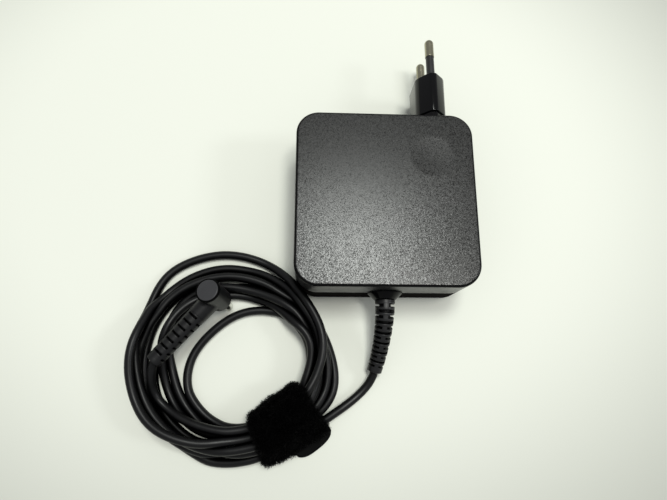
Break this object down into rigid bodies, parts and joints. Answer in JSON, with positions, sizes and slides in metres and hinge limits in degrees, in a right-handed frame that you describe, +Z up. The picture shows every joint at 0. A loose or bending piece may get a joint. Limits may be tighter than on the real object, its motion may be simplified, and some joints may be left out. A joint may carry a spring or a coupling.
{
  "type": "laptop power adapter",
  "caption": "Square laptop power adapter with a fixed mains plug, a bundled output cord with a hook-and-loop tie and a right-angle barrel connector.",
  "frame": {"origin": "centre of the housing's flat underside", "axes": "+Z up through the housing, +Y towards the mains plug, +X to the right seen from above; the cord leaves at -Y"},
  "size_m": [0.1416, 0.185, 0.03],
  "materials": {
    "housing_texture": "spark-textured top, glossy sides",
    "housing_gloss": "smooth, glossy",
    "plug_plastic": "smooth, glossy",
    "pin_metal": "nickel-plated, satin",
    "sleeve_plastic": "satin",
    "spring_brass": "bright",
    "relief_rubber": "satin",
    "cord_jacket": "satin",
    "tie_pile": "looped pile",
    "connector_plastic": "satin",
    "barrel_metal": "bright plated",
    "insulator_plastic": "plain",
    "board_laminate": "satin",
    "fish_paper": "matt",
    "ceramic": "glazed",
    "film_capacitor_case": "moulded box",
    "ferrite": "ground ceramic ferrite",
    "copper_wire": "enamelled",
    "epoxy_black": "moulded",
    "can_sleeve": "shrink sleeve",
    "spreader_aluminium": "sheet",
    "bobbin_plastic": "moulded",
    "winding_tape": "polyester tape",
    "optocoupler_case": "moulded",
    "disc_blue": "lacquered",
    "wire_insulation": "plain",
    "clamp_steel": "plated"
  },
  "bodies": {
    "root": {"bottom_housing": "housing_gloss", "top_cover": "housing_texture", "plug_head": "plug_plastic", "plug_pins": "pin_metal", "pin_sleeves": "sleeve_plastic", "contact_springs": "spring_brass", "output_collar": "housing_gloss", "strain_relief": "relief_rubber", "cord_lead": "cord_jacket", "cord_coil": "cord_jacket", "cord_tail": "cord_jacket", "cable_tie": "tie_pile", "connector_body": "connector_plastic", "connector_cap": "connector_plastic", "connector_boot": "relief_rubber", "connector_barrel": "barrel_metal", "connector_insulator": "insulator_plastic", "connector_contact": "spring_brass", "circuit_board": "board_laminate", "insulating_sheet": "fish_paper", "fuse": "ceramic", "filter_capacitor": "film_capacitor_case", "line_choke_core": "ferrite", "line_choke_winding": "copper_wire", "bridge_rectifier": "epoxy_black", "bulk_capacitor": "can_sleeve", "power_switch": "epoxy_black", "switch_heat_spreader": "spreader_aluminium", "transformer_core": "ferrite", "transformer_bobbin": "bobbin_plastic", "transformer_winding": "winding_tape", "optocoupler": "optocoupler_case", "safety_capacitor": "disc_blue", "output_rectifier": "epoxy_black", "output_heat_spreader": "spreader_aluminium", "output_capacitors": "can_sleeve", "output_choke": "copper_wire", "cord_stub": "wire_insulation", "cord_clamp": "clamp_steel"}
  },
  "joints": []
}
